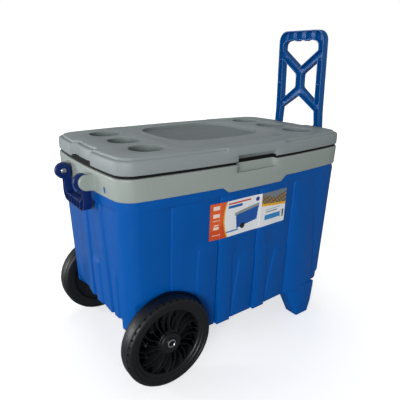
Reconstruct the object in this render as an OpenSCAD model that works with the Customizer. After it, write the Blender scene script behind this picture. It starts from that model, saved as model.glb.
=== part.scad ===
/* [Rim and lid] */
// Length of the lid and of the rim collar
rim_length = 650; // [600:5:700]
// Width of the lid and of the rim collar
rim_width = 388; // [360:2:420]
// Plan radius of the lid's corners
rim_corner_r = 34; // [24:1:44]
// Height of the lid's top face above the ground
lid_top_z = 503; // [490:1:520]
// Height of the lid without its raised plateau
lid_depth = 30.5; // [28:0.5:34]
// How far the plateau stands above the lid's border
plateau_step = 3.5; // [2:0.5:5]
// Wall thickness of the moulded parts
wall = 3.5; // [3:0.1:4]
// Height of the rim collar
collar_depth = 45; // [40:1:50]
// Diameter of a cup recess
cup_d = 71; // [66:1:74]
// Depth of a cup recess
cup_depth = 14; // [10:1:16]
// Spacing of the cup recesses across the lid
cup_pitch = 100; // [90:1:105]
// Distance of the cup recesses from the middle
cup_x = 222; // [210:1:230]

/* [Body] */
// Height of the body's underside above the ground
body_floor_z = 80; // [70:1:90]
// Draft of the body's walls from top to bottom
body_draft = 13; // [8:1:16]
// Depth of the insulated storage space
store_depth = 347; // [330:1:350]

/* [Running gear] */
// Diameter of the wheels
wheel_d = 205.4; // [180:0.2:210]
// Width of the wheels
wheel_w = 39.3; // [30:0.1:42]
// Distance between the wheels' outer faces
track_w = 405; // [400:1:410]
// Distance of the axle from the middle
axle_x = 229.4; // [220:0.2:235]
// Diameter of the axle tube
axle_d = 18; // [16:1:20]
// Number of curved ribs in a wheel
rib_count = 14; // [10:1:18]

/* [Handles] */
// Height of the handles' pivots above the ground
pivot_z = 440.5; // [438:0.5:444]
// Distance of the handles' pivots from the middle
pivot_x = 343; // [342:0.5:346]
// Radius of the handles' eyes
eye_r = 17.5; // [15:0.5:17.5]
// Diameter of the handles' screws
screw_d = 8; // [6:1:8]
// Height of the tow handle's grip above the ground
tow_top_z = 752; // [720:1:760]
// Width of the tow handle
tow_w = 156; // [150:1:160]
// Lean of the tow handle towards the lid, in degrees
tow_lean = 2.0; // [1:0.1:2]
// Width of the bail handle
bail_w = 120; // [116:1:120]
// Drop of the bail handle below its pivot
bail_drop = 64; // [60:1:70]

/* [Hidden] */

blue = [0.02, 0.22, 0.62];
navy = [0.03, 0.12, 0.42];
grey = [0.55, 0.58, 0.57];
white = [0.92, 0.92, 0.90];
black = [0.05, 0.05, 0.05];
steel = [0.75, 0.76, 0.78];

eps = 1;                    // cutters run past a face by this much
fit = 0.05;                 // radial clearance of a running fit
gap = 0.3;                  // clearance beside a moving part
round_fn = 64;              // facets that mark a true circle

// Plan outline: half sizes and how far the sides swell at mid-length
rim_hx = rim_length / 2;
rim_hy = rim_width / 2;
rim_bow = [11, 20];
body_bow = [8, 12];

// Heights of the lid and collar stack
border_z = lid_top_z - plateau_step;
lid_bottom_z = border_z - lid_depth;
collar_top_z = lid_bottom_z - 4;
collar_bottom_z = collar_top_z - collar_depth;
apron_z = collar_bottom_z - 12;
flange_z = collar_top_z - 8;
body_top_z = collar_bottom_z + 20;
foam_top_z = flange_z - 3;

// Body half sizes at the top and the bottom
body_top = [rim_hx - 11, rim_hy - 10];
body_bottom = body_top - [body_draft, body_draft - 1];
body_r = 36;

// The ribs of the front and rear walls stop below the label
rib_top_z = 298;

// Storage space: mouth and floor half sizes, and the raised floor over the axle
mouth = [rim_hx - 40, rim_hy - 40];
store_floor = mouth - [12, 11];
store_floor_z = collar_top_z - store_depth;
store_step_z = 182;
store_step_x = -130;
store_r = 42;
liner_wall = 3;

// Wheel end of the body
arch_r = wheel_d / 2 + 5.3;
axle_z = wheel_d / 2;
wheel_outer_y = track_w / 2;
wheel_inner_y = wheel_outer_y - wheel_w;
arch_wall_y = wheel_inner_y - 5.2;
bracket_inner_y = arch_wall_y - 32;
end_wall_z = 150;

// Hinge line behind the lid
hinge_y = rim_hy + 3;
hinge_z = lid_bottom_z - 2;
hinge_r = 5.5;
hinge_pin_r = 2.5;
hinge_x = 150;
knuckle_w = 14;

// Handle ears on the collar
ear_r = 16;
ear_t = 10;
bail_ear_y = bail_w / 2 + 0.5;
tow_foot_y = tow_w / 2 + 6;
tow_ear_y = tow_foot_y + 0.5;
handle_t = 19;

// ---- plan outlines ----

function arc_points(c, r, from, to, n) =
    [for (i = [0:n]) c + r * [cos(from + (to - from) * i / n), sin(from + (to - from) * i / n)]];

function between(p, q, n) = [for (i = [1:n - 1]) p + (q - p) * i / n];

function rounded_rectangle(h, r) = concat(
    arc_points([h[0] - r, h[1] - r], r, 0, 90, 6),
    between([h[0] - r, h[1]], [r - h[0], h[1]], 10),
    arc_points([r - h[0], h[1] - r], r, 90, 180, 6),
    between([-h[0], h[1] - r], [-h[0], r - h[1]], 6),
    arc_points([r - h[0], r - h[1]], r, 180, 270, 6),
    between([r - h[0], -h[1]], [h[0] - r, -h[1]], 10),
    arc_points([h[0] - r, r - h[1]], r, 270, 360, 6),
    between([h[0], r - h[1]], [h[0], h[1] - r], 6));

// The ends and sides curve back from full size at mid-length to the corners
function plan(h, r, bow) =
    [for (p = rounded_rectangle(h, r))
        [p[0] * (1 - bow[0] / h[0] * pow(p[1] / h[1], 2)),
         p[1] * (1 - bow[1] / h[1] * pow(p[0] / h[0], 2))]];

// Slab with the rim's outline, drawn in by an inset
module rim_slab(inset, z0, z1)
    translate([0, 0, z0])
        linear_extrude(z1 - z0)
            polygon(plan([rim_hx - inset, rim_hy - inset], max(rim_corner_r - inset / 2, 8), rim_bow));

// Tapered block between two plan outlines
module tapered(h0, z0, h1, z1, r, bow) {
    low = plan(h0, r, bow);
    high = plan(h1, r, bow);
    n = len(low);
    polyhedron(
        points = concat([for (p = low) [p[0], p[1], z0]], [for (p = high) [p[0], p[1], z1]]),
        faces = concat(
            [[for (i = [0:n - 1]) i]],
            [[for (i = [0:n - 1]) 2 * n - 1 - i]],
            [for (i = [0:n - 1]) [i, n + i, (i + 1) % n]],
            [for (i = [0:n - 1]) [(i + 1) % n, n + i, n + (i + 1) % n]]));
}

// Outline in the X-Z plane, carried along Y from y0 to y1
module side_cut(points, y0, y1)
    translate([0, y1, 0])
        rotate([90, 0, 0])
            linear_extrude(y1 - y0)
                polygon(points);

// Cylinder along Y
module cross_bar(x, z, r, y0, y1)
    translate([x, y1, z])
        rotate([90, 0, 0])
            cylinder(r = r, h = y1 - y0, $fn = round_fn);

// A copy on the front and a mirrored copy on the rear
module both_sides() {
    children();
    mirror([0, 1, 0]) children();
}

// ---- body ----

// Body half sizes at a height, drawn in by an inset
function body_at(z, inset) =
    body_bottom + (body_top - body_bottom) * (z - body_floor_z) / (body_top_z - body_floor_z)
    - [inset, inset];

module body_block(inset, z0, z1)
    tapered(body_at(z0, inset), z0, body_at(z1, inset), z1, body_r, body_bow);

// Space of one wheel, grown by a margin, on the rear side
module wheel_space(margin) {
    cross_bar(-axle_x, axle_z, arch_r + margin, arch_wall_y - margin, track_w / 2 + 20);
    side_cut([[-axle_x - arch_r - margin, axle_z], [-axle_x - arch_r - margin, body_floor_z - 2 * eps],
              [-109 + margin, body_floor_z - 2 * eps], [-axle_x + arch_r + margin, axle_z]],
             arch_wall_y - margin, track_w / 2 + 20);
}

// Open space under the wheel end, between the axle brackets
module axle_bay(margin)
    side_cut([[-rim_hx, body_floor_z - 2 * eps], [-rim_hx, end_wall_z + margin],
              [-190 + margin, end_wall_z + margin], [-160 + margin, body_floor_z - 2 * eps]],
             -bracket_inner_y - margin, bracket_inner_y + margin);

// Upright rib on the front wall, its face upright while the wall is drafted
module wall_rib(x0, x1, y, z1)
    side_cut([[x0, body_floor_z], [x1, body_floor_z], [x1, z1], [x0, z1]], -y, -y + 14);

// Broad pilaster that runs down into a leg
module leg_pilaster()
    side_cut([[188, 0], [230, 0], [247, 76], [237, 213], [223, 357], [206, 386],
              [151, 386], [161, 247], [166, 90], [155, 70]], -181, -165);

module leg()
    side_cut([[188, 0], [230, 0], [247, 76], [247, 90], [146, 90], [155, 70]], -181, -146);

// Hollow of the body that the foam fills, up to a height, drawn in by a skin
module body_cavity(z1, skin)
    difference() {
        body_block(wall + skin, body_floor_z + wall + skin, z1);
        both_sides() wheel_space(wall + skin);
        translate([-rim_hx, -rim_hy, 0])
            cube([rim_hx + store_step_x - 10 + skin, rim_width, end_wall_z + wall + skin]);
    }

module body_shell() color(blue)
    difference() {
        union() {
            body_block(0, body_floor_z, body_top_z);
            both_sides() {
                leg_pilaster();
                leg();
                wall_rib(-91, -54, 180, rib_top_z);
                wall_rib(28, 62, 180, rib_top_z);
            }
            snap_tabs();
        }
        body_cavity(body_top_z + eps, 0);
        both_sides() wheel_space(0);
        axle_bay(0);
        both_sides()
            side_cut([[-rim_hx, body_floor_z - 2 * eps], [-rim_hx, 145], [-302, 127],
                      [-262, body_floor_z], [-262, body_floor_z - 2 * eps]],
                     -arch_wall_y - eps, -bracket_inner_y + eps);
        cross_bar(-axle_x, axle_z, axle_d / 2 + 0.1, -arch_wall_y - eps, arch_wall_y + eps);
    }

// Blue catches that snap into the collar's slots
module snap_tabs()
    for (side = [-1, 1], y = [-110, -25, 25, 110])
        translate([side * (rim_hx - 11.5), y, body_top_z - 6])
            cube([14, 7.4, 11.4], center = true);

module inner_liner() color(white)
    difference() {
        union() {
            liner_block(0);
            difference() {
                rim_slab(20, foam_top_z, flange_z);
                liner_block(0);
            }
        }
        liner_block(liner_wall);
    }

// Storage space grown outwards to the liner's outer face; a margin of one wall gives its inside
module liner_block(inset)
    difference() {
        tapered(store_floor + [liner_wall - inset, liner_wall - inset], store_floor_z - liner_wall + inset,
                mouth + [liner_wall - inset, liner_wall - inset], collar_top_z + (inset > 0 ? eps : 0),
                store_r, rim_bow / 2);
        translate([-rim_hx, -rim_hy, 0])
            cube([rim_hx + store_step_x - liner_wall + inset, rim_width,
                  store_step_z - liner_wall + inset]);
    }

module foam_core() color("khaki")
    difference() {
        body_cavity(foam_top_z, fit);
        liner_block(0);
        lift_pocket(59 + wall, collar_top_z - 19 - wall, collar_top_z, 14 + wall);
    }

// ---- rim collar ----

// Finger pocket in the front wall, shared by the collar and the lid
module lift_pocket(half, z0, z1, depth)
    translate([-half, -rim_hy - eps, z0])
        cube([2 * half, depth + eps, z1 - z0]);

module ear(x_side, y0)
    difference() {
        union() {
            cross_bar(x_side * (pivot_x - 6), pivot_z, ear_r, y0, y0 + ear_t);
            translate([x_side > 0 ? rim_hx - 8 : -(pivot_x - 6), y0, pivot_z - ear_r])
                cube([pivot_x - 6 - rim_hx + 8, ear_t, 2 * ear_r]);
        }
        cross_bar(x_side * pivot_x, pivot_z, screw_d / 2, y0 - eps, y0 + ear_t + eps);
    }

// Collar half of one hinge: two lugs with the lid's knuckle between them
module collar_lugs(x)
    for (side = [-1, 1])
        difference() {
            union() {
                translate([x + side * (knuckle_w / 2 + 5), 0, 0])
                    hinge_barrel(10);
                translate([x + side * (knuckle_w / 2 + 5) - 5, rim_hy - 8, hinge_z - 14])
                    cube([10, hinge_y - rim_hy + 8, 13]);
            }
            hinge_bore(x, hinge_pin_r);
        }

module hinge_barrel(width)
    translate([-width / 2, hinge_y, hinge_z])
        rotate([0, 90, 0])
            cylinder(r = hinge_r, h = width, $fn = round_fn);

module hinge_bore(x, r)
    translate([x - 30, hinge_y, hinge_z])
        rotate([0, 90, 0])
            cylinder(r = r, h = 60, $fn = round_fn);

module rim_collar() color(grey)
    difference() {
        union() {
            difference() {
                rim_slab(0, collar_bottom_z, collar_top_z);
                difference() {
                    rim_slab(wall, collar_bottom_z - eps, flange_z);
                    lift_pocket(59 + wall, collar_top_z - 19 - wall, collar_top_z, 14 + wall);
                }
            }
            intersection() {
                difference() {
                    rim_slab(0, apron_z, collar_bottom_z);
                    rim_slab(wall, apron_z - eps, collar_bottom_z + eps);
                }
                side_cut([[-80, apron_z], [80, apron_z], [94, collar_bottom_z], [-94, collar_bottom_z]],
                         -rim_hy - eps, 0);
            }
            for (y = [bail_ear_y, -bail_ear_y - ear_t]) ear(-1, y);
            for (y = [tow_ear_y, -tow_ear_y - ear_t]) ear(1, y);
            for (x = [-hinge_x, hinge_x]) collar_lugs(x);
        }
        linear_extrude(lid_top_z)
            polygon(plan(mouth + [liner_wall, liner_wall], store_r, rim_bow / 2));
        lift_pocket(59, collar_top_z - 19, collar_top_z + eps, 14);
        for (side = [-1, 1], y = [-110, -25, 25, 110])
            translate([side * rim_hx, y, body_top_z - 6])
                cube([30, 8, 12], center = true);
    }

// Printed sticker, curved and drafted like the front wall under it
module front_label() color("white") {
    lean = atan2(body_top[1] - body_bottom[1], body_top_z - body_floor_z);
    base = [0, -body_at(343, 0)[1], 343];
    half = 115;
    bow = function (x) body_bow[1] * pow(x / body_top[0], 2);
    front = [for (i = [0:8]) let (x = -half + i * half / 4) [x, bow(x) - 0.8]];
    back = [for (i = [0:8]) let (x = half - i * half / 4) [x, bow(x) - 0.05]];
    translate(base)
        rotate([lean, 0, 0])
            translate([-4, 0, -42])
                linear_extrude(84)
                    polygon(concat(front, back));
}

// ---- running gear ----

module axle_tube() color(steel)
    difference() {
        cross_bar(-axle_x, axle_z, axle_d / 2, -wheel_outer_y + 2.7, wheel_outer_y - 2.7);
        cross_bar(-axle_x, axle_z, axle_d / 2 - 2, -track_w, track_w);
    }

// Flanged end pieces that keep the wheels on the tube
module axle_ferrules() color(steel)
    both_sides()
        difference() {
            union() {
                cross_bar(-axle_x, axle_z, 11.5, wheel_outer_y - 2.7, wheel_outer_y - 0.7);
                cross_bar(-axle_x, axle_z, axle_d / 2 - 2, wheel_outer_y - 14, wheel_outer_y - 2.7);
            }
            cross_bar(-axle_x, axle_z, 5, wheel_outer_y - 20, wheel_outer_y + eps);
        }

module axle_washers() color(steel)
    both_sides()
        difference() {
            cross_bar(-axle_x, axle_z, 15, arch_wall_y, arch_wall_y + 2);
            cross_bar(-axle_x, axle_z, axle_d / 2 + 0.2, arch_wall_y - eps, arch_wall_y + 3);
        }

// Wheel along +Z from its inner face, turned into place by wheel_at
module wheel() {
    r = wheel_d / 2;
    w = wheel_w;
    rotate_extrude($fn = round_fn * 2)
        polygon([[r - 28, 0], [r - 8, 0], [r, 7], [r, w - 7], [r - 4, w - 1.5], [r - 10, w],
                 [r - 14, w], [r - 15.5, w - 2], [r - 24, w - 2], [r - 26, w - 4],
                 [r - 30, w - 8], [r - 30, 21], [24, 21], [24, w - 3], [axle_d / 2 + fit, w - 3],
                 [axle_d / 2 + fit, -2.7], [24, -2.7], [24, 17], [r - 30, 17], [r - 30, 2]]);
    for (i = [0:rib_count - 1])
        rotate(i * 360 / rib_count)
            translate([0, 0, 5])
                linear_extrude(w - 15)
                    curved_rib(22, r - 29, 34, 2.6);
}

// Swept rib outline from an inner to an outer radius, leaning by a sweep angle
module curved_rib(r0, r1, sweep, t) {
    steps = 6;
    turn = function (i) sweep * pow(i / steps, 1.6);
    radius = function (i) r0 + (r1 - r0) * i / steps;
    near = [for (i = [0:steps]) radius(i) * [cos(turn(i)), sin(turn(i))] - [0, t / 2]];
    far = [for (i = [steps:-1:0]) radius(i) * [cos(turn(i)), sin(turn(i))] + [0, t / 2]];
    polygon(concat(near, far));
}

module wheel_at(side)
    translate([-axle_x, side * wheel_inner_y, axle_z])
        rotate([side > 0 ? -90 : 90, 0, 0])
            wheel();

module wheel_front() color(black) wheel_at(-1);
module wheel_rear() color(black) wheel_at(1);

// ---- lid ----

module cup_wells(grow)
    for (side = [-1, 1], row = [-1:1])
        translate([side * cup_x, row * cup_pitch, lid_top_z - cup_depth - grow])
            cylinder(d = cup_d + 2 * grow, h = cup_depth + grow + eps, $fn = round_fn);

// Shallow tray in the middle of the lid, a rounded square with swollen sides
module lid_tray(grow) {
    half = [132 + grow, 113 + grow];
    power = 0.55;
    translate([0, 22, lid_top_z - 8 - grow])
        linear_extrude(8 + grow + eps)
            polygon([for (i = [0:47]) let (a = i * 7.5)
                [half[0] * sign(cos(a)) * pow(abs(cos(a)), power),
                 half[1] * sign(sin(a)) * pow(abs(sin(a)), power)]]);
}

// Shallow bays in the lid's ends where fingers reach in
module end_bays(grow)
    for (side = [-1, 1])
        translate([side * (rim_hx - 5 + eps / 2 - grow / 2), 0, lid_top_z / 2])
            cube([12 + grow + eps, 112 + 2 * grow, lid_top_z + 2 * eps], center = true);

module lid_plateau()
    difference() {
        union() {
            rim_slab(8.5, border_z - eps, lid_top_z);
            intersection() {
                rim_slab(0, border_z - eps, lid_top_z);
                translate([-85, -rim_hy, 0]) cube([170, 100, lid_top_z]);
            }
        }
        translate([-145, rim_hy - 16, border_z]) cube([290, 20, 10]);
        end_bays(8);
    }

// Hollow inside the lid, clear of every recess by one wall
module lid_cavity(z0)
    difference() {
        rim_slab(wall, z0, border_z - wall);
        cup_wells(3);
        lid_tray(3);
        end_bays(wall);
        lift_pocket(57 + wall, z0 - eps, lid_bottom_z + 16 + wall, 14 + wall);
    }

module lid_shell() color(grey)
    difference() {
        union() {
            rim_slab(0, lid_bottom_z, border_z);
            lid_plateau();
            for (x = [-hinge_x, hinge_x]) {
                translate([x, 0, 0]) hinge_barrel(knuckle_w - 0.8);
                translate([x - knuckle_w / 2 + 0.4, rim_hy - 8, lid_bottom_z])
                    cube([knuckle_w - 0.8, hinge_y - rim_hy + 8, 3.5]);
            }
        }
        lid_cavity(lid_bottom_z - eps);
        cup_wells(0);
        lid_tray(0);
        end_bays(0);
        lift_pocket(57, lid_bottom_z - eps, lid_bottom_z + 16, 14);
        for (x = [-hinge_x, hinge_x]) hinge_bore(x, hinge_pin_r + fit);
    }

// Plate that closes the lid, with a plug that drops into the storage mouth
module lid_inner_panel() color(white)
    difference() {
        union() {
            intersection() {
                lid_cavity(lid_bottom_z);
                rim_slab(0, lid_bottom_z + 0.5, lid_bottom_z + 3.5);
            }
            plug_block(0, 3);
        }
        plug_block(liner_wall, 4);
    }

module plug_block(inset, over)
    translate([0, 0, collar_top_z - 10 + inset])
        linear_extrude(14 - inset + over)
            polygon(plan(mouth - [4 + inset, 4 + inset], store_r, rim_bow / 2));

module lid_foam() color("khaki")
    union() {
        intersection() {
            lid_cavity(lid_bottom_z);
            rim_slab(0, lid_bottom_z + 3.5, border_z);
        }
        intersection() {
            plug_block(liner_wall, 0);
            rim_slab(0, 0, lid_bottom_z + 3.6);
        }
    }

module lid_seal() color(black)
    difference() {
        rim_slab(25, collar_top_z + gap, lid_bottom_z + 0.5);
        rim_slab(31, collar_top_z, lid_bottom_z + eps);
    }

module hinge_pins() color(steel)
    for (x = [-hinge_x, hinge_x])
        translate([x - knuckle_w / 2 - 10, hinge_y, hinge_z])
            rotate([0, 90, 0])
                cylinder(r = hinge_pin_r, h = knuckle_w + 20, $fn = round_fn);

// ---- handles ----

// Loop that hangs on the wheel end, its grip ribbed for fingers
module bail_handle() color(navy) {
    outer = bail_w / 2;
    arm = 12;
    arm_t = handle_t - 2;
    arm_x = -pivot_x + 7.5;
    grip_z = pivot_z - bail_drop;
    difference() {
        union() {
            both_sides()
                cross_bar(-pivot_x, pivot_z, eye_r, outer - arm, outer);
            translate([arm_x - arm_t / 2, 0, 0])
                rotate([90, 0, 90])
                    linear_extrude(arm_t)
                        bail_outline(outer, arm, grip_z);
        }
        cross_bar(-pivot_x, pivot_z, screw_d / 2 + fit, -rim_hy, rim_hy);
    }
}

module bail_outline(outer, arm, grip_z) {
    right = concat(
        arc_points([outer - 18, grip_z + 18], 18, 270, 360, 6),
        [[outer, pivot_z - 6], [outer - arm, pivot_z - 6]],
        arc_points([outer - arm - 10, grip_z + 28], 10, 0, -90, 4));
    left = [for (i = [len(right) - 1:-1:0]) [-right[i][0], right[i][1]]];
    polygon(concat(right, left));
}

// Tall towing frame with an X brace and a finger grip
module tow_handle() color(blue)
    translate([pivot_x, 0, pivot_z])
        rotate([0, -tow_lean, 0])
            difference() {
                union() {
                    translate([-handle_t / 2, 0, 0])
                        rotate([90, 0, 90])
                            linear_extrude(handle_t)
                                tow_outline();
                    both_sides()
                        cross_bar(0, 0, eye_r, tow_foot_y - 16, tow_foot_y);
                }
                translate([-handle_t, 0, 0])
                    rotate([90, 0, 90])
                        linear_extrude(2 * handle_t)
                            tow_windows();
                cross_bar(0, 0, screw_d / 2 + fit, -rim_hy, rim_hy);
            }

// Heights above the pivot, measured along the frame
tow_h = (tow_top_z - pivot_z - handle_t / 2 * sin(tow_lean)) / cos(tow_lean);
rail_w = 17;
inner_w = tow_w / 2 - rail_w;

module tow_outline() {
    half = tow_w / 2;
    right = concat(
        [[tow_foot_y, 0], [tow_foot_y, 30], [half + 2, 95], [half, tow_h - 30]],
        arc_points([half - 28, tow_h - 28], 28, 0, 90, 7));
    left = [for (i = [len(right) - 1:-1:0]) [-right[i][0], right[i][1]]];
    polygon(concat(right, left));
}

module tow_windows() {
    brace = 13;
    neck = 13;
    // Grip window above the upper V
    polygon(concat(
        arc_points([inner_w - 14, tow_h - 40], 14, 0, 90, 4),
        arc_points([14 - inner_w, tow_h - 40], 14, 90, 180, 4),
        [[-inner_w, tow_h - 62], [0, 217], [inner_w, tow_h - 62]]));
    // Side windows beside the stem
    for (side = [-1, 1])
        polygon([for (p = [[inner_w, 226], [neck, 182], [neck, 158], [inner_w, 118]]) [side * p[0], p[1]]]);
    // Open triangle under the lower V
    polygon([[0, 139], [-inner_w, 96], [-tow_foot_y + 16, 40], [-tow_foot_y + 16, -30],
             [tow_foot_y - 16, -30], [tow_foot_y - 16, 40], [inner_w, 96]]);
}

// Screw along +Y from its head at y0 into an ear that ends at y1
module pivot_screw(x, y0, y1) {
    cross_bar(x, pivot_z, 7.5, y0 - 4, y0);
    cross_bar(x, pivot_z, screw_d / 2, y0, y1);
}

module pivot_washer(x, y1)
    difference() {
        cross_bar(x, pivot_z, 10, y1 - 1.5, y1);
        cross_bar(x, pivot_z, screw_d / 2 + fit, y1 - 3, y1 + eps);
    }

module bail_screws() color(steel)
    both_sides()
        pivot_screw(-pivot_x, bail_w / 2 - 12 - gap - 1.5, bail_ear_y + ear_t - 1);

module bail_washers() color(steel)
    both_sides()
        pivot_washer(-pivot_x, bail_w / 2 - 12 - gap);

module tow_screws() color(steel)
    both_sides()
        pivot_screw(pivot_x, tow_foot_y - 16 - gap - 1.5, tow_ear_y + ear_t - 1);

module tow_washers() color(steel)
    both_sides()
        pivot_washer(pivot_x, tow_foot_y - 16 - gap);

body_shell();
inner_liner();
foam_core();
rim_collar();
front_label();
axle_tube();
axle_ferrules();
axle_washers();
wheel_front();
wheel_rear();
lid_shell();
lid_inner_panel();
lid_foam();
lid_seal();
hinge_pins();
bail_handle();
bail_screws();
bail_washers();
tow_handle();
tow_screws();
tow_washers();
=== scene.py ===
# %% [markdown]
# # Cooler on wheels
# A hard picnic cooler has a blue tub, a grey rim collar, a hinged grey lid, two big wheels, a
# carrying bail at the wheel end and a tall towing handle at the leg end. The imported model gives
# the frame: where every body is and how it moves. Here each moulding is modelled again with the
# detail that its tool gives it. All lengths are written in millimetres and turned into metres.

# %% Load the frame
import math

import bmesh
import bpy
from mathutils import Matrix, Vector


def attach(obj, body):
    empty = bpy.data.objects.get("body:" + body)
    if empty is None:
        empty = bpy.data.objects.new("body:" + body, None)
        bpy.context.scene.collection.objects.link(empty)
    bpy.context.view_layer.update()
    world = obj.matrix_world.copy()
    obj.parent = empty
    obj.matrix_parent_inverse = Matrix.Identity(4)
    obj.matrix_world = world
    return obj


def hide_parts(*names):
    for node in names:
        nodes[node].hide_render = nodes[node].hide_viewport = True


MM = 0.001
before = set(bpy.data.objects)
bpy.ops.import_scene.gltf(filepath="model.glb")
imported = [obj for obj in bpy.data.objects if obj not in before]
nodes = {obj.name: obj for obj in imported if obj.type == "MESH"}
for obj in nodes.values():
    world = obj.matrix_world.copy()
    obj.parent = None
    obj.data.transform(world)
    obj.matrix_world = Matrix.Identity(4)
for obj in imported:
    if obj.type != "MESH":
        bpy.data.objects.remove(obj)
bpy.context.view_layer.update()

# %% [markdown]
# ## Camera
# The camera stands at the wheel end, in front and above the lid, so that the front wall, the end
# with the bail and the top of the lid all show.

# %% Camera
CAMERA_PLACE = (-0.61537, -0.81804, 0.66862)
CAMERA_YAW, CAMERA_PITCH, CAMERA_ROLL = 36.374, 18.654, 0.787
CAMERA_LENS = 37.045


def aimed_camera(place, yaw, pitch, roll, lens):
    """A camera turned by yaw to the right of +Y, pitched down, and rolled."""
    yaw, pitch, roll = math.radians(yaw), math.radians(pitch), math.radians(roll)
    bpy.ops.object.camera_add(location=place)
    camera = bpy.context.object
    camera.name = "photo_camera"
    forward = Vector((math.sin(yaw) * math.cos(pitch), math.cos(yaw) * math.cos(pitch),
                      -math.sin(pitch)))
    right = Vector((math.cos(yaw), -math.sin(yaw), 0))
    up = right.cross(forward)
    right2 = math.cos(roll) * right + math.sin(roll) * up
    up2 = math.cos(roll) * up - math.sin(roll) * right
    turn = camera.matrix_world.copy()
    for row in range(3):
        turn[row][0], turn[row][1], turn[row][2] = right2[row], up2[row], -forward[row]
    camera.matrix_world = turn
    camera.data.lens = lens
    camera.data.sensor_width = 36
    camera.data.clip_start, camera.data.clip_end = 0.01, 50
    return camera


bpy.context.scene.camera = aimed_camera(CAMERA_PLACE, CAMERA_YAW, CAMERA_PITCH, CAMERA_ROLL,
                                        CAMERA_LENS)
print("camera at", CAMERA_PLACE)

# %% [markdown]
# ## Colours and nodes
# Colours are picked as sRGB hex values, as in a paint program, while the shader wants linear
# light. One function turns one into the other. Other small functions add a node, set its sockets
# and wire it, so that each material reads as a short list.


# %% Colour and node helpers
def linear(hex_colour, alpha=1.0):
    """An sRGB hex colour as linear RGBA."""
    parts = [int(hex_colour[i:i + 2], 16) / 255 for i in (1, 3, 5)]
    rgb = tuple(c / 12.92 if c <= 0.04045 else ((c + 0.055) / 1.055) ** 2.4 for c in parts)
    return rgb + (alpha,)


def add_node(tree, kind, settings=None, links=None):
    """A node of a kind; settings are properties or sockets, links are input: output socket."""
    node = tree.nodes.new(kind)
    for key, value in (settings or {}).items():
        if isinstance(key, str) and hasattr(node, key):
            setattr(node, key, value)
        else:
            node.inputs[key].default_value = value
    for key, output in (links or {}).items():
        tree.links.new(output, node.inputs[key])
    return node


def noise(tree, coords, size_mm, detail, roughness=0.5):
    """Noise whose patches have a real size in millimetres."""
    settings = {"Scale": 1 / (size_mm * MM), "Detail": detail, "Roughness": roughness}
    return add_node(tree, "ShaderNodeTexNoise", settings, {"Vector": coords}).outputs["Fac"]


def ramp(tree, value, low, high, start=0.0, end=1.0):
    """The value mapped so that start gives low and end gives high."""
    settings = {"From Min": start, "From Max": end, "To Min": low, "To Max": high}
    return add_node(tree, "ShaderNodeMapRange", settings, {"Value": value}).outputs["Result"]


def colour_mix(tree, share, first, second):
    """Two hex colours mixed by a share."""
    settings = {"data_type": "RGBA", 6: linear(first), 7: linear(second)}
    return add_node(tree, "ShaderNodeMix", settings, {0: share}).outputs[2]


def new_material(name, **surface):
    """An empty node material with a Principled surface; surface sets that shader's sockets."""
    material = bpy.data.materials.new(name)
    material.use_nodes = True
    tree = material.node_tree
    shader = tree.nodes["Principled BSDF"]
    for key, value in surface.items():
        socket = key.replace("_", " ").title().replace("Ior", "IOR")
        shader.inputs[socket].default_value = value
    coords = add_node(tree, "ShaderNodeTexCoord").outputs["Object"]
    return material, tree, shader, coords


# %% [markdown]
# ## Moulded plastics
# The tub and handles are injection moulded polypropylene with pigment in the melt, the collar and
# lid are the same plastic in grey with a fine spark-eroded grain, and the wheels are black. All
# have an IOR near 1.49. What tells them apart is the gloss, the grain and how evenly the pigment
# flowed, so one recipe takes those as its settings. Grain sizes are real sizes in millimetres.


# %% Plastic recipe
PLASTIC_IOR = 1.49
RUBBED_MM = 26


def moulded_plastic(name, colour, shade, rough, grain_mm, grain_um, shine=0.5):
    """Pigmented plastic: its colour drifts to shade, and its skin has a grain.

    Rough is the mean roughness, grain_mm and grain_um are the grain's width and depth, and shine
    is the specular level.
    """
    material, tree, shader, coords = new_material(name, ior=PLASTIC_IOR, specular_ior_level=shine)
    flow = noise(tree, coords, 90, 3.0, 0.55)
    tree.links.new(colour_mix(tree, flow, colour, shade), shader.inputs["Base Color"])
    rubbed = noise(tree, coords, RUBBED_MM, 4.0)
    gloss = ramp(tree, rubbed, rough - 0.06, rough + 0.06, 0.3, 0.7)
    tree.links.new(gloss, shader.inputs["Roughness"])
    grain = noise(tree, coords, grain_mm, 2.0, 0.6)
    bump = add_node(tree, "ShaderNodeBump", {"Strength": 1.0, "Distance": grain_um * MM * MM},
                    {"Height": grain})
    tree.links.new(bump.outputs["Normal"], shader.inputs["Normal"])
    return material


# Royal blue polypropylene, polished mould: smooth, a soft gloss
BLUE = moulded_plastic("blue_polypropylene", "#0058ac", "#0052a3", 0.38, 1.8, 3, 0.2)
# The towing handle's blue, a touch glossier from handling
HANDLE_BLUE = moulded_plastic("blue_handle_polypropylene", "#04559a", "#034b8c", 0.34, 1.6, 3, 0.3)
# Navy bail, darker pigment with the same skin
NAVY = moulded_plastic("navy_polypropylene", "#0c2a66", "#0a225a", 0.36, 1.6, 4, 0.3)
# Grey polypropylene of the collar, satin
COLLAR_GREY = moulded_plastic("grey_polypropylene_satin", "#a0a9a3", "#98a19b", 0.42, 1.1, 12, 0.35)
# The lid has a coarser grain, and its grey is a little darker than the collar's: painted shade for its
# dimmer top
LID_GREY_SHADED = moulded_plastic("grey_polypropylene_grained_shaded", "#969e9e", "#8e9696", 0.5, 1.3, 26, 0.35)
# White lining plastic, food safe and smooth
WHITE = moulded_plastic("white_polypropylene", "#e9eae6", "#dfe1dd", 0.36, 1.8, 10)
# Black wheel plastic, dry and dull
BLACK = moulded_plastic("black_polyethylene", "#111315", "#171a1c", 0.42, 1.3, 30, 0.42)
print("plastics:", [m.name for m in (BLUE, HANDLE_BLUE, NAVY, COLLAR_GREY, LID_GREY_SHADED, WHITE, BLACK)])
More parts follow.
